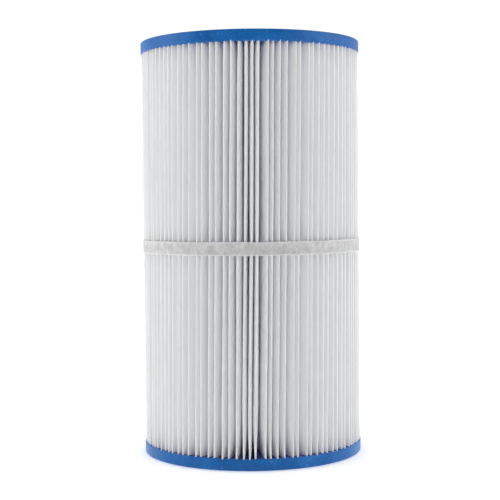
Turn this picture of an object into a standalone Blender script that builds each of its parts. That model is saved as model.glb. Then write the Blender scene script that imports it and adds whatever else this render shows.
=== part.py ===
# Pleated filter cartridge for a pool or spa, open through the middle from end to end.
# One pleated sheet stands round a windowed core. Both are cast into a soft end cap at each end,
# and a narrow strap with a glued lap holds the folds evenly spaced at mid-height.
# Units are metres. The axis is +Z and the bottom cap's outer face lies on z = 0.

import math
import random

import bmesh
import bpy
from mathutils import Matrix

MM = 0.001

# Overall
OVERALL_HEIGHT = 235.0 * MM
CAP_RADIUS = 62.7 * MM

# End caps
CAP_HEIGHT = 6.5 * MM
CAP_OPENING_RADIUS = 27.0 * MM
CAP_RIM_ROUNDING = 1.2 * MM
CAP_OPENING_CHAMFER = 1.0 * MM
TURN_STEPS = 48  # sides of the caps and the core, which line up where the core is cast in
POTTED_DEPTH = 3.8 * MM  # how deep the pleats are cast into a cap
CORE_SEAT_DEPTH = 3.5 * MM  # how deep the core stands in a cap
CAP_LIP_WIDTH = 4.0 * MM  # cap material between the opening and the core's bore
DIMPLE_COUNT = 6  # marks that the casting mould's pins leave in the outer face
DIMPLE_RADIUS = 1.8 * MM
DIMPLE_DEPTH = 1.0 * MM
DIMPLE_EDGE_DISTANCE = 14.0 * MM  # from the cap's rim to the dimples' centres

# Pleated sheet
PLEAT_COUNT = 100
SHEET_THICKNESS = 0.45 * MM
PLEAT_INSET = 0.6 * MM  # the folds stand this far inside the caps' rim
FOLD_WEB = 0.34 * MM  # cap material that still fits inside an outer fold
PLEAT_WANDER = 0.8  # share of the free gap beside an outer fold that it may use up by straying
WANDER_SEED = 36479
SEAM_ANGLE = math.radians(93.4)  # the sheet's two ends meet at the back
SEAM_STRIP_WIDTH = 10.0 * MM

# Core
CORE_WALL = 2.5 * MM
CORE_SECTION_NAMES = ("core_section_lower", "core_section_middle", "core_section_upper")
SPIGOT_WALL = 1.1 * MM
SPIGOT_HEIGHT = 5.0 * MM
WINDOW_COLUMNS = 8
WINDOW_ROWS = 3
RIB_WIDTH = 7.0 * MM
RING_BAR_HEIGHT = 3.0 * MM
END_RING_HEIGHT = 9.0 * MM

# Strap round the middle
STRAP_WIDTH = 7.3 * MM
STRAP_THICKNESS = 0.3 * MM
STRAP_ABOVE_MIDDLE = 1.3 * MM
STRAP_SEGMENTS = 90
STRAP_RAMP_SEGMENTS = 3  # over these the strap climbs onto its own first end
LAP_ANGLE = math.radians(120)
LAP_LENGTH = 21.5 * MM
LAP_GLUE_THICKNESS = 0.15 * MM
LAP_GLUE_MARGIN = 0.8 * MM

# Clearances
POTTING_GAP = 0.15 * MM  # beside the sheet and the core where they are cast in
END_GAP = 0.2 * MM  # under the sheet and the core, and at the seam strip's ends
CORE_TO_SHEET_GAP = 0.9 * MM
SPIGOT_GAP = 0.15 * MM
JOINT_GAP = 0.2 * MM  # between the faces of two core sections
SEAM_GAP = 0.12 * MM
STRAP_GAP = 0.12 * MM
LAP_GAP = 0.07 * MM
CUT_MARGIN = 1.0 * MM  # how far a cutter runs past what it cuts

# Sizes that follow
CORE_INNER_RADIUS = CAP_OPENING_RADIUS + CAP_LIP_WIDTH
CORE_OUTER_RADIUS = CORE_INNER_RADIUS + CORE_WALL
SLOT_WIDTH = SHEET_THICKNESS + 2 * POTTING_GAP
CREST_RADIUS = CAP_RADIUS - PLEAT_INSET - SHEET_THICKNESS / 2
VALLEY_RADIUS = CORE_OUTER_RADIUS + CORE_TO_SHEET_GAP + SHEET_THICKNESS / 2
FOLD_HALF_WIDTH = (SLOT_WIDTH + FOLD_WEB) / 2
VALLEY_HALF_WIDTH = math.pi * VALLEY_RADIUS / (2 * PLEAT_COUNT)
SHEET_BOTTOM = CAP_HEIGHT - POTTED_DEPTH + END_GAP
CORE_BOTTOM = CAP_HEIGHT - CORE_SEAT_DEPTH + END_GAP
STRAP_CENTRE_HEIGHT = OVERALL_HEIGHT / 2 + STRAP_ABOVE_MIDDLE
STRAP_RADIUS = CAP_RADIUS - PLEAT_INSET + STRAP_GAP + STRAP_THICKNESS / 2
LAP_STEP_OUT = STRAP_THICKNESS + LAP_GLUE_THICKNESS + 2 * LAP_GAP

# Colours are red, green, blue; then roughness.
CAP_LOOK = ((0.035, 0.13, 0.45), 0.45)
SHEET_LOOK = ((0.84, 0.86, 0.88), 0.9)
SEAM_LOOK = ((0.80, 0.80, 0.76), 0.5)
CORE_LOOK = ((0.82, 0.83, 0.84), 0.4)
STRAP_LOOK = ((0.90, 0.91, 0.92), 0.7)
GLUE_LOOK = ((0.85, 0.82, 0.70), 0.35)

PARTS_COLLECTION = "filter_cartridge"
CUTTERS_COLLECTION = "cutters"


def clear_scene():
    for old in list(bpy.data.objects):
        bpy.data.objects.remove(old, do_unlink=True)


def new_collection(name):
    collection = bpy.data.collections.new(name)
    bpy.context.scene.collection.children.link(collection)
    return collection


def material(name, look):
    colour, roughness = look
    made = bpy.data.materials.new(name)
    made.use_nodes = True
    shader = made.node_tree.nodes["Principled BSDF"]
    shader.inputs["Base Color"].default_value = (*colour, 1.0)
    shader.inputs["Roughness"].default_value = roughness
    shader.inputs["Metallic"].default_value = 0.0
    made.diffuse_color = (*colour, 1.0)
    return made


def new_object(name, bm, collection, look=None):
    mesh = bpy.data.meshes.new(name)
    bm.to_mesh(mesh)
    bm.free()
    obj = bpy.data.objects.new(name, mesh)
    collection.objects.link(obj)
    if look:
        mesh.materials.append(material(name, look))
    else:
        obj.hide_render = True
        obj.display_type = "WIRE"
    return obj


def polar(radius, angle, height=0.0):
    return (radius * math.cos(angle), radius * math.sin(angle), height)


def turned(name, section, steps, collection, look):
    """A closed section of (radius, height) points turned round the axis with a Screw modifier."""
    corners = zip(section, section[1:] + section[:1])
    area = sum(r0 * z1 - r1 * z0 for (r0, z0), (r1, z1) in corners)
    if area > 0:  # the section runs downwards on its outer side
        section = section[::-1]
    bm = bmesh.new()
    ring = [bm.verts.new((radius, 0.0, height)) for radius, height in section]
    for a, b in zip(ring, ring[1:] + ring[:1]):
        bm.edges.new((a, b))
    obj = new_object(name, bm, collection, look)
    screw = obj.modifiers.new("turn", "SCREW")
    screw.steps = steps
    screw.render_steps = steps
    screw.use_merge_vertices = True
    screw.merge_threshold = 0.0001
    screw.use_smooth_shade = True
    return obj


def thickened_path(name, path, bottom, top, thickness, collection, look=None):
    """A wall that stands on an open path of (x, y) points, made solid with a Solidify modifier."""
    bm = bmesh.new()
    foot = [bm.verts.new((x, y, bottom)) for x, y in path]
    edges = [bm.edges.new(pair) for pair in zip(foot, foot[1:])]
    raised = bmesh.ops.extrude_edge_only(bm, edges=edges)["geom"]
    risen = [item for item in raised if isinstance(item, bmesh.types.BMVert)]
    bmesh.ops.translate(bm, vec=(0.0, 0.0, top - bottom), verts=risen)
    bmesh.ops.recalc_face_normals(bm, faces=bm.faces)
    obj = new_object(name, bm, collection, look)
    solidify = obj.modifiers.new("thickness", "SOLIDIFY")
    solidify.thickness = thickness
    solidify.offset = 0.0
    solidify.use_even_offset = True
    return obj


def cut(obj, cutter):
    boolean = obj.modifiers.new(cutter.name, "BOOLEAN")
    boolean.operation = "DIFFERENCE"
    boolean.solver = "EXACT"
    boolean.object = cutter


def fold_places():
    """The angle of each outer fold, in order round from the seam. The seam's own fold stays put."""
    wander = random.Random(WANDER_SEED)
    spacing = 2 * math.pi / PLEAT_COUNT
    free_gap = spacing - (2 * FOLD_HALF_WIDTH + SLOT_WIDTH) / CREST_RADIUS
    most = PLEAT_WANDER * free_gap / 2
    strays = [wander.uniform(-most, most) for _ in range(PLEAT_COUNT)]
    strays[0] = 0.0
    return [SEAM_ANGLE + spacing * i + stray for i, stray in enumerate(strays)]


def sheet_path(flap_margin=0.0):
    """The sheet's centre line seen from above, from one end flap at the seam round to the other."""
    spacing = 2 * math.pi / PLEAT_COUNT
    fold_turn = FOLD_HALF_WIDTH / CREST_RADIUS
    valley_turn = VALLEY_HALF_WIDTH / VALLEY_RADIUS
    flap_radius = CREST_RADIUS + flap_margin
    seam, *folds = fold_places()
    corners = [(flap_radius, seam + fold_turn)]
    for i in range(PLEAT_COUNT):
        valley = SEAM_ANGLE + spacing * (i + 0.5)
        corners += [(VALLEY_RADIUS, valley - valley_turn), (VALLEY_RADIUS, valley + valley_turn)]
        if i < len(folds):
            corners += [(CREST_RADIUS, folds[i] - fold_turn), (CREST_RADIUS, folds[i] + fold_turn)]
    corners.append((flap_radius, seam - fold_turn))
    return [polar(radius, angle)[:2] for radius, angle in corners]


def rim_arc(radius, rounding, steps=3):
    """Points of the rounded edge between a cap's outer face and its rim, from face to rim."""
    turns = [math.pi / 2 * i / steps for i in range(steps + 1)]
    return [
        (radius - rounding + rounding * math.sin(turn), rounding - rounding * math.cos(turn))
        for turn in turns
    ]


def dimple_cutter(name, at_height, collection):
    """The mould-pin marks in a cap's outer face, as one group of short round pegs."""
    bm = bmesh.new()
    circle = CAP_RADIUS - DIMPLE_EDGE_DISTANCE
    for i in range(DIMPLE_COUNT):
        place = polar(circle, 2 * math.pi * (i + 0.5) / DIMPLE_COUNT, at_height)
        bmesh.ops.create_cone(
            bm,
            cap_ends=True,
            segments=12,
            radius1=DIMPLE_RADIUS,
            radius2=DIMPLE_RADIUS,
            depth=2 * DIMPLE_DEPTH,
            matrix=Matrix.Translation(place),
        )
    return new_object(name, bm, collection)


def end_cap(name, outer_face, inward, parts, cutters):
    """A cast cap. Heights are counted inward from its outer face, so both ends share the drawing."""
    seat = CAP_HEIGHT - CORE_SEAT_DEPTH
    seat_inner = CORE_INNER_RADIUS - POTTING_GAP
    seat_outer = CORE_OUTER_RADIUS + POTTING_GAP
    drawing = [
        (CAP_OPENING_RADIUS, CAP_HEIGHT),
        (CAP_OPENING_RADIUS, CAP_OPENING_CHAMFER),
        (CAP_OPENING_RADIUS + CAP_OPENING_CHAMFER, 0.0),
        *rim_arc(CAP_RADIUS, CAP_RIM_ROUNDING),
        (CAP_RADIUS, CAP_HEIGHT),
        (seat_outer, CAP_HEIGHT),
        (seat_outer, seat),
        (seat_inner, seat),
        (seat_inner, CAP_HEIGHT),
    ]
    section = [(radius, outer_face + inward * depth) for radius, depth in drawing]
    cap = turned(name, section, TURN_STEPS, parts, CAP_LOOK)

    slot_ends = (
        outer_face + inward * (CAP_HEIGHT - POTTED_DEPTH),
        outer_face + inward * (CAP_HEIGHT + CUT_MARGIN),
    )
    slots = thickened_path(
        name + "_pleat_slots",
        sheet_path(POTTING_GAP),
        min(slot_ends),
        max(slot_ends),
        SLOT_WIDTH,
        cutters,
    )
    cut(cap, slots)
    cut(cap, dimple_cutter(name + "_dimples", outer_face, cutters))
    return cap


def pleated_media(parts):
    return thickened_path(
        "pleated_media",
        sheet_path(),
        SHEET_BOTTOM,
        OVERALL_HEIGHT - SHEET_BOTTOM,
        SHEET_THICKNESS,
        parts,
        SHEET_LOOK,
    )


def media_seam_strip(parts):
    """The bead of adhesive that fills the seam between the sheet's two end flaps."""
    bottom = CAP_HEIGHT + END_GAP
    height = OVERALL_HEIGHT - 2 * bottom
    thickness = 2 * FOLD_HALF_WIDTH - SHEET_THICKNESS - 2 * SEAM_GAP
    bm = bmesh.new()
    bmesh.ops.create_cube(bm, size=1.0)
    bmesh.ops.scale(bm, vec=(SEAM_STRIP_WIDTH, thickness, height), verts=bm.verts)
    strip = new_object("media_seam_strip", bm, parts, SEAM_LOOK)
    strip.location = polar(CREST_RADIUS - SEAM_STRIP_WIDTH / 2, SEAM_ANGLE, bottom + height / 2)
    strip.rotation_euler.z = SEAM_ANGLE
    return strip


def window_cutter(name, bottom, top, collection):
    """The windows of one core section, as a group of boxes that point out from the axis."""
    spacing = 2 * math.pi / WINDOW_COLUMNS
    width = spacing * CORE_OUTER_RADIUS - RIB_WIDTH
    clear_height = top - bottom - 2 * END_RING_HEIGHT
    height = (clear_height - (WINDOW_ROWS - 1) * RING_BAR_HEIGHT) / WINDOW_ROWS
    length = CORE_WALL + 4 * CUT_MARGIN
    radius = CORE_OUTER_RADIUS - CORE_WALL / 2
    bm = bmesh.new()
    for row in range(WINDOW_ROWS):
        centre = bottom + END_RING_HEIGHT + height / 2 + row * (height + RING_BAR_HEIGHT)
        for column in range(WINDOW_COLUMNS):
            angle = spacing * (column + 0.5)
            box = bmesh.ops.create_cube(bm, size=1.0)["verts"]
            bmesh.ops.scale(bm, vec=(length, width, height), verts=box)
            place = Matrix.Translation(polar(radius, angle, centre))
            bmesh.ops.transform(bm, matrix=place @ Matrix.Rotation(angle, 4, "Z"), verts=box)
    return new_object(name, bm, collection)


def core_section(index, parts, cutters):
    """A windowed tube. It plugs into the next one up with a spigot, and takes one from below."""
    name = CORE_SECTION_NAMES[index]
    count = len(CORE_SECTION_NAMES)
    length = (OVERALL_HEIGHT - 2 * CORE_BOTTOM) / count
    bottom = CORE_BOTTOM + index * length
    top = bottom + length
    spigot_radius = CORE_INNER_RADIUS + SPIGOT_WALL
    section = []
    if index > 0:
        foot = bottom + JOINT_GAP / 2
        ceiling = bottom + SPIGOT_HEIGHT + JOINT_GAP
        socket_radius = spigot_radius + SPIGOT_GAP
        section += [
            (CORE_INNER_RADIUS, ceiling),
            (socket_radius, ceiling),
            (socket_radius, foot),
            (CORE_OUTER_RADIUS, foot),
        ]
    else:
        section += [(CORE_INNER_RADIUS, bottom), (CORE_OUTER_RADIUS, bottom)]
    if index < count - 1:
        shoulder = top - JOINT_GAP / 2
        spigot_top = top + SPIGOT_HEIGHT
        section += [
            (CORE_OUTER_RADIUS, shoulder),
            (spigot_radius, shoulder),
            (spigot_radius, spigot_top),
            (CORE_INNER_RADIUS, spigot_top),
        ]
    else:
        section += [(CORE_OUTER_RADIUS, top), (CORE_INNER_RADIUS, top)]
    tube = turned(name, section, TURN_STEPS, parts, CORE_LOOK)
    cut(tube, window_cutter(name + "_windows", bottom, top, cutters))
    return tube


def strap_turn():
    return 2 * math.pi / STRAP_SEGMENTS


def lap_segments():
    return max(2, round(LAP_LENGTH / (STRAP_RADIUS * strap_turn())))


def lap_start():
    return LAP_ANGLE - strap_turn() * lap_segments() / 2


def girth_band(parts):
    """The strap goes once round and climbs over its own first end, where the two are glued."""
    path = []
    for i in range(STRAP_SEGMENTS + lap_segments() + 1):
        climb = (i - STRAP_SEGMENTS + 1 + STRAP_RAMP_SEGMENTS) / STRAP_RAMP_SEGMENTS
        climb = min(1.0, max(0.0, climb))
        radius = STRAP_RADIUS + LAP_STEP_OUT * climb
        path.append(polar(radius, lap_start() + i * strap_turn())[:2])
    bottom = STRAP_CENTRE_HEIGHT - STRAP_WIDTH / 2
    top = bottom + STRAP_WIDTH
    return thickened_path("girth_band", path, bottom, top, STRAP_THICKNESS, parts, STRAP_LOOK)


def band_lap_glue(parts):
    radius = STRAP_RADIUS + LAP_STEP_OUT / 2
    angles = [lap_start() + i * strap_turn() for i in range(lap_segments() + 1)]
    angles[0] += LAP_GLUE_MARGIN / radius
    angles[-1] -= LAP_GLUE_MARGIN / radius
    path = [polar(radius, angle)[:2] for angle in angles]
    height = STRAP_WIDTH - 2 * LAP_GLUE_MARGIN
    bottom = STRAP_CENTRE_HEIGHT - height / 2
    top = bottom + height
    return thickened_path("band_lap_glue", path, bottom, top, LAP_GLUE_THICKNESS, parts, GLUE_LOOK)


def build():
    clear_scene()
    parts = new_collection(PARTS_COLLECTION)
    cutters = new_collection(CUTTERS_COLLECTION)
    end_cap("bottom_end_cap", 0.0, 1, parts, cutters)
    end_cap("top_end_cap", OVERALL_HEIGHT, -1, parts, cutters)
    pleated_media(parts)
    media_seam_strip(parts)
    for index in range(len(CORE_SECTION_NAMES)):
        core_section(index, parts, cutters)
    girth_band(parts)
    band_lap_glue(parts)


build()
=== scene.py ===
import bisect
import math
import random

import bmesh
import bpy
import numpy as np
from mathutils import Matrix, Vector


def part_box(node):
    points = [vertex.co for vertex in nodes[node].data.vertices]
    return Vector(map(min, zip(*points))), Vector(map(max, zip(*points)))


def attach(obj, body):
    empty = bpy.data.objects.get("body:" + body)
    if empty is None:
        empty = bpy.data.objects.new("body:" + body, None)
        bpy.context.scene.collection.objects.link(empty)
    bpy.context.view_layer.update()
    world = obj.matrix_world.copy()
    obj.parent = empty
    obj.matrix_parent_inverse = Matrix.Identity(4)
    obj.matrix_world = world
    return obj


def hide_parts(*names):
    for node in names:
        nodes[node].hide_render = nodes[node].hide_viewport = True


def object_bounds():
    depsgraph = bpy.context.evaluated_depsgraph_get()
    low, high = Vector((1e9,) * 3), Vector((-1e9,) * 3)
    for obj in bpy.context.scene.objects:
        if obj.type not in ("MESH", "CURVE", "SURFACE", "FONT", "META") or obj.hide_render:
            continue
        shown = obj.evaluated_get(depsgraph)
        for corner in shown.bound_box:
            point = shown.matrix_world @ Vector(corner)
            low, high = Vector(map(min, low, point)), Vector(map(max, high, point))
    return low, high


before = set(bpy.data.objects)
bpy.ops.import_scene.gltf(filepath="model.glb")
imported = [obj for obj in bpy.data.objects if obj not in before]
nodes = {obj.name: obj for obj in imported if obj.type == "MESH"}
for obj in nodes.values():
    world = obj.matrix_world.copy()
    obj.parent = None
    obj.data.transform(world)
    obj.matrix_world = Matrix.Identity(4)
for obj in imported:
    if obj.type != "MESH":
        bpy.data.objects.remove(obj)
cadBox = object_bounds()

mm = 0.001
fullTurn = 2 * math.pi

height = cadBox[1].z
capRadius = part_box("bottom_end_cap")[1].x
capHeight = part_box("bottom_end_cap")[1].z
strapHeight = (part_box("girth_band")[0].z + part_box("girth_band")[1].z) / 2


def nodePoints(name):
    mesh = nodes[name].data
    points = np.zeros(len(mesh.vertices) * 3)
    mesh.vertices.foreach_get("co", points)
    return points.reshape(-1, 3)


def reachOf(points):
    # each point's distance from the axis
    return np.hypot(points[:, 0], points[:, 1])


def angleOf(name):
    # where a small piece stands round the axis
    low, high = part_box(name)
    middle = (low + high) / 2
    return math.atan2(middle.y, middle.x)


def halfWidthOf(name):
    low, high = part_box(name)
    return 0.5 * math.hypot(high.x - low.x, high.y - low.y)


def foldAngles(seam):
    # each outer fold of the plain sheet has two corners on its outermost radius
    cornerBand = 0.1 * mm
    angleDigits = 4  # points of the same corner agree this far
    points = nodePoints("pleated_media")
    points = points[points[:, 2] < height / 2]
    reach = reachOf(points)
    corners = points[reach > reach.max() - cornerBand]
    turned = (np.arctan2(corners[:, 1], corners[:, 0]) - seam) % fullTurn
    turned = np.unique(np.round(turned, angleDigits))
    return [seam + (a + b) / 2 for a, b in zip(turned[0::2], turned[1::2])]


seam = angleOf("media_seam_strip")
folds = foldAngles(seam)
pleatCount = len(folds) + 1
spacing = fullTurn / pleatCount
print("frame read:", pleatCount, "folds")


def smoothStep(low, high, x):
    t = min(1.0, max(0.0, (x - low) / (high - low)))
    return t * t * (3 - 2 * t)


def curveThrough(knots, x):
    # eased value between (place, value) knots
    places = [k[0] for k in knots]
    i = min(max(bisect.bisect_right(places, x), 1), len(knots) - 1)
    (x0, v0), (x1, v1) = knots[i - 1], knots[i]
    return v0 + (v1 - v0) * smoothStep(x0, x1, x)


def waves(rng, lengths, sizes):
    # a smooth random line: one sine for each length, drawn a little shorter or longer
    lengthSpread = (0.8, 1.25)
    parts = [(fullTurn / (w * rng.uniform(*lengthSpread)), s, rng.uniform(0, fullTurn))
             for w, s in zip(lengths, sizes)]
    return lambda x: sum(s * math.sin(k * x + p) for k, s, p in parts)


def addPiece(name, vertices, faces, material, slot):
    mesh = bpy.data.meshes.new(name)
    mesh.from_pydata([tuple(v) for v in vertices], [], faces)
    mesh.validate()
    mesh.polygons.foreach_set("use_smooth", [True] * len(mesh.polygons))
    mesh.materials.append(material)
    mesh.update()
    piece = bpy.data.objects.new(name, mesh)
    bpy.context.scene.collection.objects.link(piece)
    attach(piece, "root")
    return piece


def gridFaces(rows, columns, start=0, closedRows=False, closedColumns=False, flip=False):
    # quads of a rows by columns grid of vertices
    faces = []
    for r in range(rows if closedRows else rows - 1):
        for c in range(columns if closedColumns else columns - 1):
            r1, c1 = (r + 1) % rows, (c + 1) % columns
            quad = (start + r * columns + c, start + r * columns + c1,
                    start + r1 * columns + c1, start + r1 * columns + c)
            faces.append(quad[::-1] if flip else quad)
    return faces


def newMaterial(name):
    material = bpy.data.materials.new(name)
    material.use_nodes = True
    tree = material.node_tree
    shader = tree.nodes["Principled BSDF"]
    return material, tree, shader


def setInputs(shader, values):
    for name, value in values.items():
        shader.inputs[name].default_value = value


def objectCoords(tree, scale=(1, 1, 1), turn=(0, 0, 0)):
    coords = tree.nodes.new("ShaderNodeTexCoord")
    mapping = tree.nodes.new("ShaderNodeMapping")
    setInputs(mapping, {"Scale": scale, "Rotation": turn})
    tree.links.new(coords.outputs["Object"], mapping.inputs["Vector"])
    return mapping.outputs["Vector"]


def noise(tree, vector, scale, detail, roughness=0.55, distortion=0.0):
    node = tree.nodes.new("ShaderNodeTexNoise")
    setInputs(node, {"Scale": scale, "Detail": detail, "Roughness": roughness, "Distortion": distortion})
    tree.links.new(vector, node.inputs["Vector"])
    return node.outputs["Fac"]


def mathNode(tree, operation, a, b=None):
    node = tree.nodes.new("ShaderNodeMath")
    node.operation = operation
    for socket, value in zip(node.inputs, (a, b)):
        if value is None:
            continue
        if isinstance(value, (int, float)):
            socket.default_value = value
        else:
            tree.links.new(value, socket)
    return node.outputs["Value"]


def weighted(tree, a, aShare, b, bShare):
    # a * aShare + b * bShare
    return mathNode(tree, "ADD", mathNode(tree, "MULTIPLY", a, aShare), mathNode(tree, "MULTIPLY", b, bShare))


def ramp(tree, fac, places, colours):
    node = tree.nodes.new("ShaderNodeValToRGB")
    elements = node.color_ramp.elements
    while len(elements) < len(places):
        elements.new(0.5)
    for element, position, colour in zip(elements, places, colours):
        element.position = position
        element.color = (*colour, 1.0)
    tree.links.new(fac, node.inputs["Fac"])
    return node.outputs["Color"]


def greyRamp(tree, fac, stops):
    places, values = zip(*stops)
    return ramp(tree, fac, places, [(v, v, v) for v in values])


def mixColours(tree, fac, a, b, blend="MIX"):
    node = tree.nodes.new("ShaderNodeMix")
    node.data_type = "RGBA"
    node.blend_type = blend
    for socket, value in ((node.inputs[0], fac), (node.inputs[6], a), (node.inputs[7], b)):
        if isinstance(value, (int, float)):
            socket.default_value = value
        elif isinstance(value, tuple):
            socket.default_value = (*value, 1.0)
        else:
            tree.links.new(value, socket)
    return node.outputs[2]


def bump(tree, shader, heightSocket, strength, distance, before=None):
    node = tree.nodes.new("ShaderNodeBump")
    setInputs(node, {"Strength": strength, "Distance": distance})
    tree.links.new(heightSocket, node.inputs["Height"])
    if before:
        tree.links.new(before, node.inputs["Normal"])
    tree.links.new(node.outputs["Normal"], shader.inputs["Normal"])
    return node.outputs["Normal"]


def rangeOf(tree, value, low, high, start=0.0, end=1.0):
    # start to end becomes low to high
    node = tree.nodes.new("ShaderNodeMapRange")
    setInputs(node, {"From Min": start, "From Max": end, "To Min": low, "To Max": high})
    tree.links.new(value, node.inputs["Value"])
    return node.outputs["Result"]


# In each look, a noise is scale, detail, roughness and distortion, and a relief is strength and height.
# Tones are the places in the noise where one colour ends and the next begins.
fabricLook = {
    "white": (0.97, 0.975, 0.985),
    "shade": (0.94, 0.945, 0.96),
    "tones": (0.35, 0.75),
    "fibres": (1500, 3, 0.6),
    "fibreStretch": (1, 1, 0.22),
    "fibreSlants": ((0.5, 0.35, 0.2), (-0.5, -0.35, 0.1)),
    "fibreShare": 1.4,
    "clouds": (140, 3),
    "cloudStretch": (1, 1, 0.6),
    "cloudShare": 0.55,
    "roughness": 0.92,
    "shine": 0.25,
    "sheen": 0.15,
    "sheenRoughness": 0.5,
    "glow": 1.0,  # share of the light that soaks into the sheet
    "glowDepth": 0.5 * mm,
    "relief": (0.35, 0.12 * mm),
}


def spunFabric(name, look):
    # random-laid fibres: two fine noises drawn out at opposite slants, over slow cloudiness
    material, tree, shader = newMaterial(name)
    left, right = (noise(tree, objectCoords(tree, look["fibreStretch"], slant), *look["fibres"])
                   for slant in look["fibreSlants"])
    clouds = noise(tree, objectCoords(tree, look["cloudStretch"]), *look["clouds"])
    fibres = mathNode(tree, "MULTIPLY", left, right)
    tone = weighted(tree, fibres, look["fibreShare"], clouds, look["cloudShare"])
    colour = ramp(tree, tone, look["tones"], (look["shade"], look["white"]))
    tree.links.new(colour, shader.inputs["Base Color"])
    setInputs(shader, {
        "Roughness": look["roughness"],
        "Specular IOR Level": look["shine"],
        "Sheen Weight": look["sheen"],
        "Sheen Roughness": look["sheenRoughness"],
        "Subsurface Weight": look["glow"],
        "Subsurface Radius": (1, 1, 1),
        "Subsurface Scale": look["glowDepth"],
    })
    bump(tree, shader, fibres, *look["relief"])
    return material


capLook = {
    "blue": (0.003, 0.135, 0.46),
    "lighter": (0.014, 0.185, 0.56),
    "darker": (0.0005, 0.105, 0.39),
    "scuffed": (0.06, 0.22, 0.58),
    "roughness": (0.3, 0.45),
}

# painted shade: the face between the pleats gets a much darker, glossier blue that stands in for the shadow
# it lies in
shadedFaceLook = {
    "blue": (0.002, 0.035, 0.30),
    "lighter": (0.003, 0.05, 0.36),
    "darker": (0.001, 0.02, 0.22),
    "scuffed": (0.004, 0.05, 0.32),
    "roughness": (0.15, 0.3),
}

# what both have in common
urethaneGrain = {
    "mottling": (45, 4, 0.6, 0.4),
    "mottlingTones": (0.3, 0.5, 0.72),
    "mottlingRelief": (0.25, 0.4 * mm),
    "skin": (700, 3, 0.6),
    "skinBrightness": [(0.3, 0.88), (0.7, 1.1)],
    "skinRelief": (0.2, 0.06 * mm),
    "scuffs": (24, 5, 0.65, 0.6),
    "scuffStretch": (1, 1, 0.6),
    "scuffMask": [(0.52, 0.0), (0.68, 0.6)],
    "specks": (1300, 2, 0.5),
    "speckMask": [(0.69, 0.0), (0.75, 0.5)],
    "speckColour": (0.45, 0.6, 0.8),
    "shine": 0.25,
    "sheen": 0.12,
    "sheenRoughness": 0.35,
}


def castUrethane(name, look):
    # soft satin casting with slow mottling, fine skin texture, pale scuffs and a few specks
    grain = urethaneGrain
    material, tree, shader = newMaterial(name)
    slow = noise(tree, objectCoords(tree), *grain["mottling"])
    fine = noise(tree, objectCoords(tree), *grain["skin"])
    colour = ramp(tree, slow, grain["mottlingTones"], (look["darker"], look["blue"], look["lighter"]))
    colour = mixColours(tree, 1.0, colour, greyRamp(tree, fine, grain["skinBrightness"]), "MULTIPLY")
    scuffs = noise(tree, objectCoords(tree, grain["scuffStretch"]), *grain["scuffs"])
    colour = mixColours(tree, greyRamp(tree, scuffs, grain["scuffMask"]), colour, look["scuffed"])
    specks = noise(tree, objectCoords(tree), *grain["specks"])
    colour = mixColours(tree, greyRamp(tree, specks, grain["speckMask"]), colour, grain["speckColour"])
    tree.links.new(colour, shader.inputs["Base Color"])
    tree.links.new(rangeOf(tree, slow, *look["roughness"]), shader.inputs["Roughness"])
    setInputs(shader, {
        "Specular IOR Level": grain["shine"],
        "Sheen Weight": grain["sheen"],
        "Sheen Roughness": grain["sheenRoughness"],
    })
    first = bump(tree, shader, slow, *grain["mottlingRelief"])
    bump(tree, shader, fine, *grain["skinRelief"], first)
    return material


strapLook = {
    "white": (0.80, 0.795, 0.80),
    "shade": (0.50, 0.50, 0.50),
    "tones": (0.44, 0.72),
    "alongFibres": (900, 4, 0.7, 0.8),
    "alongStretch": (0.5, 0.5, 1.6),
    "alongSlant": (0.5, 0.6, 0),
    "acrossFibres": (750, 4, 0.7, 0.8),
    "acrossStretch": (1.3, 1.3, 0.4),
    "acrossSlant": (0, 0.6, 0.3),
    "fibreShare": 0.7,
    "clouds": (260, 3),
    "cloudShare": 0.4,
    "edge": (0.86, 0.86, 0.87),
    "edgeFrom": (2.7 * mm, 3.5 * mm),  # from the strap's middle, where its colour turns lighter towards the edges
    "edgeShare": 0.8,
    "roughness": 0.8,
    "shine": 0.3,
    "relief": (0.6, 0.15 * mm),
}


def pressedTape(name, look):
    # thin non-woven tape: short fibres in all directions, some thin places
    material, tree, shader = newMaterial(name)
    alongCoords = objectCoords(tree, look["alongStretch"], look["alongSlant"])
    acrossCoords = objectCoords(tree, look["acrossStretch"], look["acrossSlant"])
    along = noise(tree, alongCoords, *look["alongFibres"])
    across = noise(tree, acrossCoords, *look["acrossFibres"])
    clouds = noise(tree, objectCoords(tree), *look["clouds"])
    fibres = mathNode(tree, "MAXIMUM", along, across)
    tone = weighted(tree, fibres, look["fibreShare"], clouds, look["cloudShare"])
    colour = ramp(tree, tone, look["tones"], (look["shade"], look["white"]))
    split = tree.nodes.new("ShaderNodeSeparateXYZ")
    tree.links.new(objectCoords(tree), split.inputs[0])
    fromMiddle = mathNode(tree, "ABSOLUTE", mathNode(tree, "SUBTRACT", split.outputs["Z"], strapHeight))
    edge = rangeOf(tree, fromMiddle, 0, look["edgeShare"], *look["edgeFrom"])
    colour = mixColours(tree, edge, colour, look["edge"])
    tree.links.new(colour, shader.inputs["Base Color"])
    setInputs(shader, {"Roughness": look["roughness"], "Specular IOR Level": look["shine"]})
    bump(tree, shader, fibres, *look["relief"])
    return material


coreLook = {
    "white": (0.78, 0.79, 0.80),
    "shade": (0.70, 0.71, 0.73),
    "tones": (0.3, 0.7),
    "mottling": (60, 3),
    "grain": (1800, 2),
    "roughness": (0.35, 0.55),
    "relief": (0.15, 0.03 * mm),
}


def mouldedPlastic(name, look):
    material, tree, shader = newMaterial(name)
    slow = noise(tree, objectCoords(tree), *look["mottling"])
    fine = noise(tree, objectCoords(tree), *look["grain"])
    colour = ramp(tree, slow, look["tones"], (look["shade"], look["white"]))
    tree.links.new(colour, shader.inputs["Base Color"])
    tree.links.new(rangeOf(tree, slow, *look["roughness"]), shader.inputs["Roughness"])
    bump(tree, shader, fine, *look["relief"])
    return material


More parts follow.
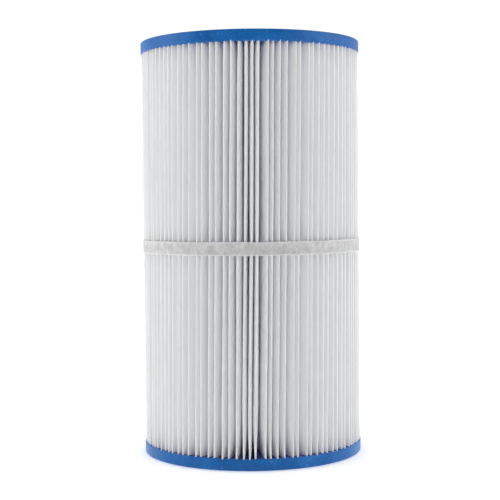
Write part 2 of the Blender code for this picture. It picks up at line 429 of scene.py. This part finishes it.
glueLook = {
    "clear": (0.78, 0.76, 0.66),
    "milky": (0.84, 0.83, 0.78),
    "tones": (0.3, 0.7),
    "mottling": (220, 3, 0.6, 0.5),
    "roughness": (0.18, 0.4),
    "relief": (0.4, 0.2 * mm),
}


def hotMeltGlue(name, look):
    material, tree, shader = newMaterial(name)
    slow = noise(tree, objectCoords(tree), *look["mottling"])
    colour = ramp(tree, slow, look["tones"], (look["clear"], look["milky"]))
    tree.links.new(colour, shader.inputs["Base Color"])
    tree.links.new(rangeOf(tree, slow, *look["roughness"]), shader.inputs["Roughness"])
    bump(tree, shader, slow, *look["relief"])
    return material


fabric = spunFabric("spun_filter_fabric", fabricLook)
urethane = castUrethane("cast_blue_urethane", capLook)
# painted shade: a darker blue copy of the cap's urethane, for the shadowed face between the pleats
shadedFaceUrethane = castUrethane("shaded_face_blue_urethane", shadedFaceLook)
tape = pressedTape("pressed_tape", strapLook)
plastic = mouldedPlastic("moulded_white_plastic", coreLook)
glue = hotMeltGlue("hot_melt_glue", glueLook)
print("finishes made")


sheetSizes = {
    "thickness": 0.38 * mm,
    "crestRadius": 62.16 * mm,  # centre line of the sheet at an outer fold
    "strapPress": 0.17 * mm,  # how far the strap pushes the folds in
    "strapPressSpread": 6 * mm,  # and how far above and below its middle this reaches
    "valleyRadius": 34.625 * mm,
    "valleyHalfWidth": 0.54 * mm,
    "crestHalfWidth": 0.27 * mm,
    "crestWidths": (0.9, 1.2),  # one fold's share of that width
    "flapHalfWidth": 0.55 * mm,  # half the way between the sheet's two ends, where they are glued
    "clearance": 0.12 * mm,  # between one pleat's skin and the next
    "twist": math.radians(3.4),  # the pleats turn this much from the bottom cap to the top one
    "freeRun": 14 * mm,  # a fold wanders and stands back fully this far from the caps
    # how far a pleat's sides bow apart, by height
    "bow": [(0, 0.0), (6.5 * mm, 0.02 * mm), (12 * mm, 0.32 * mm), (20 * mm, 0.78 * mm),
            (30 * mm, 0.95 * mm), (50 * mm, 0.9 * mm), (85 * mm, 0.78 * mm), (112 * mm, 0.74 * mm),
            (125 * mm, 0.74 * mm), (165 * mm, 0.76 * mm), (210 * mm, 0.78 * mm), (228 * mm, 0.7 * mm),
            (235 * mm, 0.66 * mm)],
    "bowRange": (0.4, 1.3),  # one side's share of that bow
    # shape of the bow along a side: (share of the way in, share of the bow)
    "bowShape": [(0.045, 0.48), (0.15, 0.9), (0.36, 1.0), (0.68, 0.6)],
    "bowWaveLengths": (190 * mm, 80 * mm),
    "bowWaveSizes": (0.16, 0.08),
    "wanderLengths": (240 * mm, 95 * mm),
    "wanderSizes": (0.13 * mm, 0.035 * mm),
    "recess": 0.3 * mm,  # the furthest that an outer fold stands back from the others
    "recessWaveLengths": (120 * mm, 50 * mm),
    "recessWaveSizes": (0.06 * mm, 0.02 * mm),
    # heights in mm of the rows of points, from the sheet's lower end to its upper one
    "rows": [2.9, 6.5, 8.4, 10.8, 13.6, 17, 21, 26, 33, 43, 56, 70, 84, 98, 109, 114.6, 118.8,
             123.0, 130, 142, 158, 175, 192, 207, 217, 223, 227.4, 232.1],
    "crestPoints": 5,
    "valleyPoints": 3,
    "mitreLimit": 0.7,  # keeps the skins from spiking at a sharp fold
    "seed": 12,
}


def twistAt(z):
    return sheetSizes["twist"] * (z / height - 0.5)


def strapNearness(z):
    # 1 under the strap, falling to 0 above and below it
    return math.exp(-((z - strapHeight) / sheetSizes["strapPressSpread"]) ** 2)


def pleatLines(sizes):
    # how each fold wanders and stands back, and how its two sides bow, by height
    rng = random.Random(sizes["seed"])
    lines = []

    def bowOfSide():
        return rng.uniform(*sizes["bowRange"]), waves(rng, sizes["bowWaveLengths"], sizes["bowWaveSizes"])

    for _ in range(pleatCount):
        lines.append({
            "wander": waves(rng, sizes["wanderLengths"], sizes["wanderSizes"]),
            "recess": rng.uniform(0, sizes["recess"]) * rng.random(),
            "recessWave": waves(rng, sizes["recessWaveLengths"], sizes["recessWaveSizes"]),
            "width": rng.uniform(*sizes["crestWidths"]),
            "bows": [bowOfSide() for _ in range(2)],
        })
    return lines


def place(radius, angle, side=0.0):
    # a point at this radius, moved sideways from the radial line
    c, s = math.cos(angle), math.sin(angle)
    return np.array((radius * c - side * s, radius * s + side * c))


def sheetSection(z, sizes, lines):
    # the sheet's centre line at one height, from one flap round to the other, with its normals
    free = smoothStep(capHeight, capHeight + sizes["freeRun"], z)
    free *= smoothStep(0, sizes["freeRun"], height - capHeight - z)
    bow = curveThrough(sizes["bow"], z)
    b = sizes["valleyHalfWidth"]
    turn = twistAt(z)
    outermost = sizes["crestRadius"] - sizes["strapPress"] * strapNearness(z)
    arcs, bows = [], []  # folds in order along the sheet, and the bow of the sides beside each outer one

    def halfTurn(count):
        return np.linspace(-math.pi / 2, math.pi / 2, count)

    def outerFold(angle, line):
        half = sizes["crestHalfWidth"] * line["width"]
        radius = outermost - (line["recess"] + abs(line["recessWave"](z))) * free
        angle += turn + line["wander"](z) * free / radius
        arcs.append([place(radius - half + half * math.cos(t), angle, half * math.sin(t))
                     for t in halfTurn(sizes["crestPoints"])])
        bows.append([bow * share * (1 + wave(z)) for share, wave in line["bows"]])

    def innerFold(angle):
        angle += turn
        arcs.append([place(sizes["valleyRadius"] + b - b * math.cos(t), angle, b * math.sin(t))
                     for t in halfTurn(sizes["valleyPoints"])])

    def flap(side):
        arcs.append([place(outermost, seam + turn, side)])
        bows.append((0.0, 0.0))

    flap(sizes["flapHalfWidth"])
    for k in range(pleatCount):
        innerFold(seam + spacing * (k + 0.5))
        if k < len(folds):
            outerFold(folds[k], lines[k])
    flap(-sizes["flapHalfWidth"])

    tiny = 1e-9  # guards the division where a side doesn't bow
    points = []
    for k in range(pleatCount):
        before, valley, after = arcs[2 * k], arcs[2 * k + 1], arcs[2 * k + 2]
        going, coming = bows[k][1], bows[k + 1][0]
        points.extend(before)
        sides = []
        for share, bowShare in sizes["bowShape"]:
            down = before[-1] + (valley[0] - before[-1]) * share
            up = after[0] + (valley[-1] - after[0]) * share
            across = up - down
            gap = np.hypot(*across)
            room = max(0.0, gap - sizes["thickness"] - sizes["clearance"])
            squeeze = min(1.0, room / max(tiny, (going + coming) * bowShare))
            across /= gap
            sides.append((down + across * going * bowShare * squeeze,
                          up - across * coming * bowShare * squeeze))
        points.extend(down for down, _ in sides)
        points.extend(valley)
        points.extend(up for _, up in reversed(sides))
    points.extend(arcs[-1])
    line = np.array(points)
    ahead = np.roll(line, -1, axis=0) - line
    ahead[-1] = ahead[-2]
    behind = line - np.roll(line, 1, axis=0)
    behind[0] = ahead[0]
    ahead /= reachOf(ahead)[:, None]
    behind /= reachOf(behind)[:, None]
    along = ahead + behind
    along /= reachOf(along)[:, None]
    normals = np.stack([along[:, 1], -along[:, 0]], axis=1)
    mitre = 1 / np.clip((ahead * along).sum(axis=1), sizes["mitreLimit"], 1.0)
    return line, normals * mitre[:, None]


def buildSheet(sizes):
    lines = pleatLines(sizes)
    outer, inner = [], []
    half = sizes["thickness"] / 2
    for row in sizes["rows"]:
        z = row * mm
        line, normals = sheetSection(z, sizes, lines)
        heightColumn = np.full((len(line), 1), z)
        outer.append(np.hstack([line + normals * half, heightColumn]))
        inner.append(np.hstack([line - normals * half, heightColumn]))
    rows, columns = len(outer), len(outer[0])
    vertices = np.concatenate(outer + inner)
    start = rows * columns
    faces = gridFaces(rows, columns)
    faces += gridFaces(rows, columns, start, flip=True)
    last = (rows - 1) * columns
    for c in range(columns - 1):
        faces.append((c + 1, c, start + c, start + c + 1))
        faces.append((last + c, last + c + 1, start + last + c + 1, start + last + c))
    for r in range(rows - 1):
        a, b = r * columns, (r + 1) * columns
        faces.append((a, b, start + b, start + a))
        a, b = a + columns - 1, b + columns - 1
        faces.append((b, a, start + a, start + b))
    middle = (outer[rows // 2] + inner[rows // 2]) / 2
    unfolded = np.hypot(*np.diff(middle[:, :2], axis=0).T).sum()
    return vertices, faces, unfolded


sheetVertices, sheetFaces, sheetLength = buildSheet(sheetSizes)
media = addPiece("folded_sheet", sheetVertices, sheetFaces, fabric, "filter_fabric")
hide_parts("pleated_media")
print("sheet made:", len(sheetVertices), "points,", round(sheetLength, 3), "m unfolded")


capSizes = {
    "segments": 960,
    "rimRounding": 0.75 * mm,
    "rimPoints": 6,
    "openingRounding": 0.9 * mm,
    "openingPoints": 5,
    "faceRings": (0.08, 0.3, 0.5, 0.92),  # shares of the flat face, from the opening to the rim
    "wallRings": (0.34, 0.5, 0.65),  # shares of the cap's height
    # the rim's cast edge: (in from the rim, short of the cap's height, share of roughness, share of dips)
    "edge": [(0, 1.25 * mm, 0.2, 0.4), (0, 0.75 * mm, 0.5, 0.9), (0.04 * mm, 0.3 * mm, 1.0, 1.0),
             (0.2 * mm, 0.05 * mm, 1.0, 1.0), (0.6 * mm, 0, 1.0, 1.0)],
    "edgeRoughness": 0.13 * mm,
    "raggedLengths": (11.0, 5.0, 2.3, 1.3),  # mm along the rim
    "raggedSizes": (0.4, 0.3, 0.3, 0.25),
    "foldDip": 0.8 * mm,  # the furthest that a fold bares itself in the rim's edge
    "foldDipWidth": 0.55 * mm,
    "foldDipRarity": 3,  # higher: fewer deep dips
    # the cured face: (in from the rim, sunk), then (radius, sunk)
    "curedNearRim": [(1.6 * mm, 0.15 * mm), (5 * mm, 0.3 * mm)],
    "curedInside": [(50 * mm, 0.2 * mm), (42 * mm, 0), (34 * mm, 0)],
    "curedChamfer": 0.4 * mm,
    "creep": 0.5 * mm,  # how far the urethane climbs the sheet near the outer folds
    "dimpleCount": 6,  # marks of the pins that hold the sheet clear of the mould
    "dimpleFromRim": 14 * mm,
    "dimpleRadius": 1.8 * mm,
    "dimpleDepth": 1.0 * mm,
    "dimpleRounding": 0.35 * mm,
    "dimpleRings": 15,
    "dimpleRingReach": 1.35,  # in dimple radii
    "seed": 5,
}


def capProfile(sizes, openingRadius):
    # (radius, depth from the outer face) of the outer face and the rim's wall, from the opening outwards
    lip, rim = sizes["openingRounding"], sizes["rimRounding"]
    points = [(openingRadius + lip - lip * math.cos(t), lip - lip * math.sin(t))
              for t in np.linspace(0, math.pi / 2, sizes["openingPoints"])]
    flat = capRadius - rim - openingRadius - lip
    reach = sizes["dimpleRingReach"]
    dimpled = np.linspace(-reach, reach, sizes["dimpleRings"]) * sizes["dimpleRadius"]
    dimpled = dimpled + capRadius - sizes["dimpleFromRim"]
    radii = [openingRadius + lip + flat * share for share in sizes["faceRings"]]
    points += [(r, 0.0) for r in sorted(radii + list(dimpled))]
    points += [(capRadius - rim + rim * math.sin(t), rim - rim * math.cos(t))
               for t in np.linspace(0, math.pi / 2, sizes["rimPoints"])]
    points += [(capRadius, capHeight * share) for share in sizes["wallRings"]]
    return points


def curedProfile(sizes, openingRadius):
    # (radius, depth from the outer face) of the cured face, then of the opening's wall
    points = [(capRadius - fromRim, capHeight - sunk) for fromRim, sunk in sizes["curedNearRim"]]
    points += [(radius, capHeight - sunk) for radius, sunk in sizes["curedInside"]]
    chamfer = sizes["curedChamfer"]
    points += [(openingRadius + chamfer, capHeight), (openingRadius, capHeight - chamfer)]
    points.append((openingRadius, capHeight / 2))
    return points


def dimpleDepth(sizes, radius, angle):
    step = fullTurn / sizes["dimpleCount"]
    aside = math.remainder(angle - step / 2, step)
    centre = capRadius - sizes["dimpleFromRim"]
    away = math.hypot(radius * math.sin(aside), radius * math.cos(aside) - centre)
    edge, rounding = sizes["dimpleRadius"], sizes["dimpleRounding"]
    return sizes["dimpleDepth"] * (1 - smoothStep(edge - rounding, edge + rounding, away))


def buildCap(name, outerFace, inward, sizes):
    rng = random.Random(sizes["seed"] + (0 if inward > 0 else 1))
    openingRadius = float(reachOf(nodePoints("bottom_end_cap")).min())
    smoothPart = capProfile(sizes, openingRadius)
    edge = [(capRadius - fromRim, capHeight - short, roughShare, dipShare)
            for fromRim, short, roughShare, dipShare in sizes["edge"]]
    face = curedProfile(sizes, openingRadius)
    turn = twistAt(outerFace + inward * capHeight)
    turned = sorted((a + turn) % fullTurn for a in folds)
    dips = [rng.random() ** sizes["foldDipRarity"] for _ in turned]
    raggedness = waves(rng, sizes["raggedLengths"], sizes["raggedSizes"])
    vertices = []
    count = sizes["segments"]
    for s in range(count):
        angle = fullTurn * s / count
        i = bisect.bisect_left(turned, angle) % len(turned)
        away = [abs(math.remainder(turned[j] - angle, fullTurn)) * capRadius for j in (i - 1, i)]
        nearest = i - 1 if away[0] < away[1] else i
        near = math.exp(-(min(away) / sizes["foldDipWidth"]) ** 2)
        dip = dips[nearest] * sizes["foldDip"] * near
        rough = sizes["edgeRoughness"] * raggedness(angle * capRadius / mm)
        ring = [(r, d + dimpleDepth(sizes, r, angle)) if d == 0 else (r, d) for r, d in smoothPart]
        ring += [(r, d + rough * roughShare - dip * dipShare) for r, d, roughShare, dipShare in edge]
        ring += [(face[0][0], face[0][1] + sizes["creep"] * near)] + face[1:]
        for radius, depth in ring:
            vertices.append((radius * math.cos(angle), radius * math.sin(angle), outerFace + inward * depth))
    columns = len(ring)
    faces = gridFaces(count, columns, closedRows=True, closedColumns=True, flip=inward > 0)
    cap = addPiece(name, vertices, faces, urethane, "end_cap_blue")
    # painted shade: the face between the pleats takes the darker blue that stands in for its shadow
    cap.data.materials.append(shadedFaceUrethane)
    firstShadedColumn = len(smoothPart) + len(edge) - 1
    openingWall = columns - 2
    for polygon in cap.data.polygons:
        if firstShadedColumn <= polygon.index % columns < openingWall:
            polygon.material_index = 1
    return cap


bottomCap = buildCap("cast_cap_bottom", 0.0, 1, capSizes)
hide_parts("bottom_end_cap")
topCap = buildCap("cast_cap_top", height, -1, capSizes)
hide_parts("top_end_cap")
print("caps made")


strapSizes = {
    "segments": 720,
    "thickness": 0.3 * mm,
    # across the strap, from its lower edge to its upper one: (place, share of the edge's bead)
    "profile": [(-1, 0.5), (-0.93, 1.0), (-0.8, 0.35), (-0.4, 0), (0, 0), (0.4, 0), (0.8, 0.35), (0.93, 1.0),
                (1, 0.5)],
    "edgeBead": 0.07 * mm,
    "edgeWaveLengths": (40, 17, 7),  # mm round the cartridge
    "edgeWaveSizes": (0.10, 0.06, 0.03),  # mm
    "sag": 0.12 * mm,  # how far it sinks between two folds
    "standOff": 0.04 * mm,  # from the plain strap's inner face
    "pastGlue": 0.8 * mm,  # how far each end runs on past the lap's glue
    "climb": (0.16, 0.02),  # radians before the lap at which it starts and ends its climb onto the first end
    "seed": 3,
}


def buildStrap(sizes):
    low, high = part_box("girth_band")
    reach = reachOf(nodePoints("girth_band"))
    inner, outer = float(reach.min()), float(reach.max())
    lapMiddle = angleOf("band_lap_glue")
    lapHalf = (halfWidthOf("band_lap_glue") + sizes["pastGlue"]) / inner
    rng = random.Random(sizes["seed"])
    radius0 = inner + sizes["thickness"] / 2 + sizes["standOff"]
    radius1 = outer - sizes["thickness"] / 2
    start, end = lapMiddle - lapHalf, lapMiddle + lapHalf + fullTurn
    climbStart, climbEnd = (end - 2 * lapHalf - before for before in sizes["climb"])
    topWave, lowWave = (waves(rng, sizes["edgeWaveLengths"], sizes["edgeWaveSizes"]) for _ in range(2))
    foldList = sorted(a % fullTurn for a in folds + [seam])
    count = sizes["segments"]
    outerSkin, innerSkin = [], []
    for s in range(count + 1):
        angle = start + (end - start) * s / count
        climb = smoothStep(climbStart, climbEnd, angle)
        a = angle % fullTurn
        i = bisect.bisect_right(foldList, a) % len(foldList)
        gap = math.remainder(foldList[i] - foldList[i - 1], fullTurn)
        t = math.remainder(a - foldList[i - 1], fullTurn) / gap
        sag = sizes["sag"] * math.sin(math.pi * t) ** 2 * (1 - climb) * min(1.0, gap / spacing) ** 2
        radius = radius0 + (radius1 - radius0) * climb - sag
        top = high.z + topWave(angle * inner / mm) * mm
        bottom = low.z + lowWave(angle * inner / mm) * mm
        for share, bead in sizes["profile"]:
            z = (top + bottom) / 2 + share * (top - bottom) / 2
            out = radius + sizes["thickness"] / 2 + bead * sizes["edgeBead"] * (1 - climb)
            back = radius - sizes["thickness"] / 2
            outerSkin.append((out * math.cos(angle), out * math.sin(angle), z))
            innerSkin.append((back * math.cos(angle), back * math.sin(angle), z))
    rows, columns = count + 1, len(sizes["profile"])
    offset = rows * columns
    faces = gridFaces(rows, columns, flip=True)
    faces += gridFaces(rows, columns, offset)
    for r in range(rows - 1):
        a, b = r * columns, (r + 1) * columns
        faces.append((offset + a, offset + b, b, a))
        a, b = a + columns - 1, b + columns - 1
        faces.append((a, b, offset + b, offset + a))
    last = (rows - 1) * columns
    for c in range(columns - 1):
        faces.append((c, c + 1, offset + c + 1, offset + c))
        faces.append((offset + last + c, offset + last + c + 1, last + c + 1, last + c))
    return outerSkin + innerSkin, faces


strap = addPiece("middle_strap", *buildStrap(strapSizes), tape, "strap_fabric")
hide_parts("girth_band")
print("strap made")


# glue between the sheet's two ends, squeezed out unevenly at its inner and outer edge
seamSizes = {
    "rows": 150,
    "thickness": 0.52 * mm,
    "width": 10 * mm,
    # one side of its section, from the inner edge: (share of the width, share of the thickness)
    "side": [(0.0, 0.7), (0.02, 1.0), (0.25, 1.0), (0.5, 1.0), (0.75, 1.0), (0.985, 1.0), (1.0, 0.55)],
    "waveLengths": (23, 9, 4),  # mm up the seam
    "waveSizes": (0.5, 0.35, 0.2),
    "outerWave": 0.14 * mm,
    "outerBack": 0.6,  # in outer waves: holds the outer edge inside the folds
    "innerWave": 0.9 * mm,
    "seed": 8,
}


def beadFaces(rows, columns):
    # a closed bar: rings of points with a cap at each end
    faces = gridFaces(rows, columns, closedColumns=True)
    faces.append(tuple(range(columns))[::-1])
    faces.append(tuple(range((rows - 1) * columns, rows * columns)))
    return faces


def buildSeamGlue(sizes):
    rng = random.Random(sizes["seed"])
    low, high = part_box("media_seam_strip")
    outerWave, innerWave = (waves(rng, sizes["waveLengths"], sizes["waveSizes"]) for _ in range(2))
    outline = [(share, -side) for share, side in sizes["side"]] + sizes["side"][::-1]
    vertices = []
    for row in range(sizes["rows"]):
        z = low.z + (high.z - low.z) * row / (sizes["rows"] - 1)
        nearStrap = strapNearness(z)
        outer = sheetSizes["crestRadius"] - sheetSizes["strapPress"] * nearStrap
        outer += sizes["outerWave"] * (outerWave(z / mm) - sizes["outerBack"]) * (1 - nearStrap)
        inner = outer - sizes["width"] + sizes["innerWave"] * innerWave(z / mm)
        half = sizes["thickness"] / 2
        for share, side in outline:
            x, y = place(inner + (outer - inner) * share, seam + twistAt(z), side * half)
            vertices.append((x, y, z))
    return vertices, beadFaces(sizes["rows"], len(outline))


seamGlue = addPiece("seam_glue_bead", *buildSeamGlue(seamSizes), glue, "seam_adhesive")
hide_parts("media_seam_strip")


# glue in the strap's lap, with an uneven edge that shows at the strap's two edges
lapSizes = {
    "columns": 90,
    "pointsAcross": 9,
    "thickness": 0.13 * mm,
    "edgeThickness": 0.6,  # share of the thickness at the strap's edges
    "waveLengths": (9, 4, 1.7),  # mm along the lap
    "waveSizes": (0.6, 0.5, 0.3),
    "squeeze": 0.16 * mm,
    "squeezeBack": 0.3,  # in squeezes: draws the film in from the strap's edges
    "endWave": 0.5 * mm,
    "endWaveReach": 3,  # mm of that wave used from the middle to an edge
    "seed": 14,
}


def buildLapGlue(sizes):
    rng = random.Random(sizes["seed"])
    low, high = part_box("band_lap_glue")
    radius = float(reachOf(nodePoints("band_lap_glue")).mean())
    middle = angleOf("band_lap_glue")
    half = halfWidthOf("band_lap_glue") / radius
    topWave, lowWave, endWave = (waves(rng, sizes["waveLengths"], sizes["waveSizes"]) for _ in range(3))
    across = np.linspace(-1, 1, sizes["pointsAcross"])
    outline = [(share, -1) for share in across] + [(share, 1) for share in across[::-1]]
    vertices = []
    for column in range(sizes["columns"]):
        t = 2 * column / (sizes["columns"] - 1) - 1
        top = high.z + sizes["squeeze"] * (topWave(t * half * radius / mm) - sizes["squeezeBack"])
        bottom = low.z + sizes["squeeze"] * (lowWave(t * half * radius / mm) + sizes["squeezeBack"])
        for share, side in outline:
            endShift = sizes["endWave"] * (1 + endWave(sizes["endWaveReach"] * share)) / radius
            angle = middle + t * (half - endShift)
            z = (top + bottom) / 2 + share * (top - bottom) / 2
            thickness = sizes["thickness"] * (sizes["edgeThickness"] if abs(share) == 1 else 1)
            out = radius + side * thickness / 2
            vertices.append((out * math.cos(angle), out * math.sin(angle), z))
    return vertices, beadFaces(sizes["columns"], len(outline))


lapGlue = addPiece("lap_glue_film", *buildLapGlue(lapSizes), glue, "lap_adhesive")
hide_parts("band_lap_glue")
print("glue made")


coreEdges = {
    "rounding": 0.35 * mm,
    "steps": 3,
    "sharpFrom": 35,  # degrees between two faces
}


def finishCore(name, sizes):
    # the section keeps its own shape: its moulded edges are rounded, and it gets its finish
    section = nodes[name]
    section.data.materials.clear()
    section.data.materials.append(plastic)
    rounding = section.modifiers.new("moulded_edges", "BEVEL")
    rounding.width = sizes["rounding"]
    rounding.segments = sizes["steps"]
    rounding.limit_method = "ANGLE"
    rounding.angle_limit = math.radians(sizes["sharpFrom"])
    rounding.use_clamp_overlap = True


for sectionName in ("core_section_lower", "core_section_middle", "core_section_upper"):
    finishCore(sectionName, coreEdges)
print("core finished")


stageLook = {
    "floor": (0.9, 0.9, 0.9),
    "floorGlow": 0.35,
    "floorRoughness": 0.9,
    "floorRadius": 6.0,
    "floorSides": 96,
    "floorGap": 0.2 * mm,  # below the bottom cap
    # brightness of the room from the front (0) to the back (1)
    "room": [(0.0, 0.10), (0.15, 0.16), (0.3, 0.37), (0.45, 1.0), (0.55, 1.8), (0.7, 1.1), (0.85, 0.6),
             (1.0, 0.45)],
    "backdrop": 1.06,  # the room as the camera sees it
    # (name, place, size, power)
    "lights": [
        ("left_softbox", (-1.1, -0.15, 0.3), (0.7, 1.3), 3.2),
        ("right_softbox", (1.1, -0.25, 0.3), (0.7, 1.3), 2.1),
        ("top_softbox", (0.1, 0.1, 1.1), (0.8, 0.8), 0.6),
    ],
    "bounces": 24,
    "diffuseBounces": 20,  # light goes deep between the pleats
}


def makeFloor(look):
    mesh = bpy.data.meshes.new("floor")
    bm = bmesh.new()
    bmesh.ops.create_circle(bm, cap_ends=True, segments=look["floorSides"], radius=look["floorRadius"])
    bm.to_mesh(mesh)
    bm.free()
    floor = bpy.data.objects.new("floor", mesh)
    floor.location.z = -look["floorGap"]
    material, _, shader = newMaterial("pale_floor")
    setInputs(shader, {
        "Base Color": (*look["floor"], 1),
        "Roughness": look["floorRoughness"],
        "Emission Color": (1, 1, 1, 1),
        "Emission Strength": look["floorGlow"],
    })
    mesh.materials.append(material)
    bpy.context.scene.collection.objects.link(floor)


def makeLight(name, position, size, power):
    light = bpy.data.lights.new(name, "AREA")
    light.shape = "RECTANGLE"
    light.size, light.size_y = size
    light.energy = power
    lamp = bpy.data.objects.new(name, light)
    bpy.context.scene.collection.objects.link(lamp)
    lamp.location = position
    aim = Vector((0, 0, height / 2)) - Vector(position)
    lamp.rotation_euler = aim.to_track_quat("-Z", "Y").to_euler()


def makeWorld(look):
    world = bpy.data.worlds.new("soft_white_room")
    bpy.context.scene.world = world
    world.use_nodes = True
    tree = world.node_tree
    direction = tree.nodes.new("ShaderNodeTexCoord").outputs["Generated"]
    split = tree.nodes.new("ShaderNodeSeparateXYZ")
    tree.links.new(direction, split.inputs[0])
    room = greyRamp(tree, rangeOf(tree, split.outputs["Y"], 0, 1, -1, 1), look["room"])
    seen = tree.nodes.new("ShaderNodeLightPath").outputs["Is Camera Ray"]
    colour = mixColours(tree, seen, room, (look["backdrop"],) * 3)
    tree.links.new(colour, tree.nodes["Background"].inputs["Color"])


cameraSizes = {
    "distance": 699.1 * mm,  # from the axis
    "heightShare": 0.6143,
    "pitchDown": 2.346,  # degrees
    "roll": -0.559,  # degrees
    "lens": 86.57,
    "sensor": 36,
    "sideways": 0.75 * mm,
    "clip": (0.01, 50),
}


def makeCamera(sizes):
    camera = bpy.data.cameras.new("camera")
    camera.sensor_width = sizes["sensor"]
    camera.lens = sizes["lens"]
    camera.clip_start, camera.clip_end = sizes["clip"]
    rig = bpy.data.objects.new("camera", camera)
    bpy.context.scene.collection.objects.link(rig)
    pitch = Matrix.Rotation(math.radians(90 - sizes["pitchDown"]), 4, "X")
    roll = Matrix.Rotation(math.radians(sizes["roll"]), 4, "Z")
    stand = Matrix.Translation((-sizes["sideways"], -sizes["distance"], height * sizes["heightShare"]))
    rig.matrix_world = stand @ pitch @ roll
    bpy.context.scene.camera = rig


makeFloor(stageLook)
makeWorld(stageLook)
for lightSizes in stageLook["lights"]:
    makeLight(*lightSizes)
makeCamera(cameraSizes)
bpy.context.scene.view_settings.view_transform = "Standard"
bpy.context.scene.cycles.max_bounces = stageLook["bounces"]
bpy.context.scene.cycles.diffuse_bounces = stageLook["diffuseBounces"]
print("stage made")
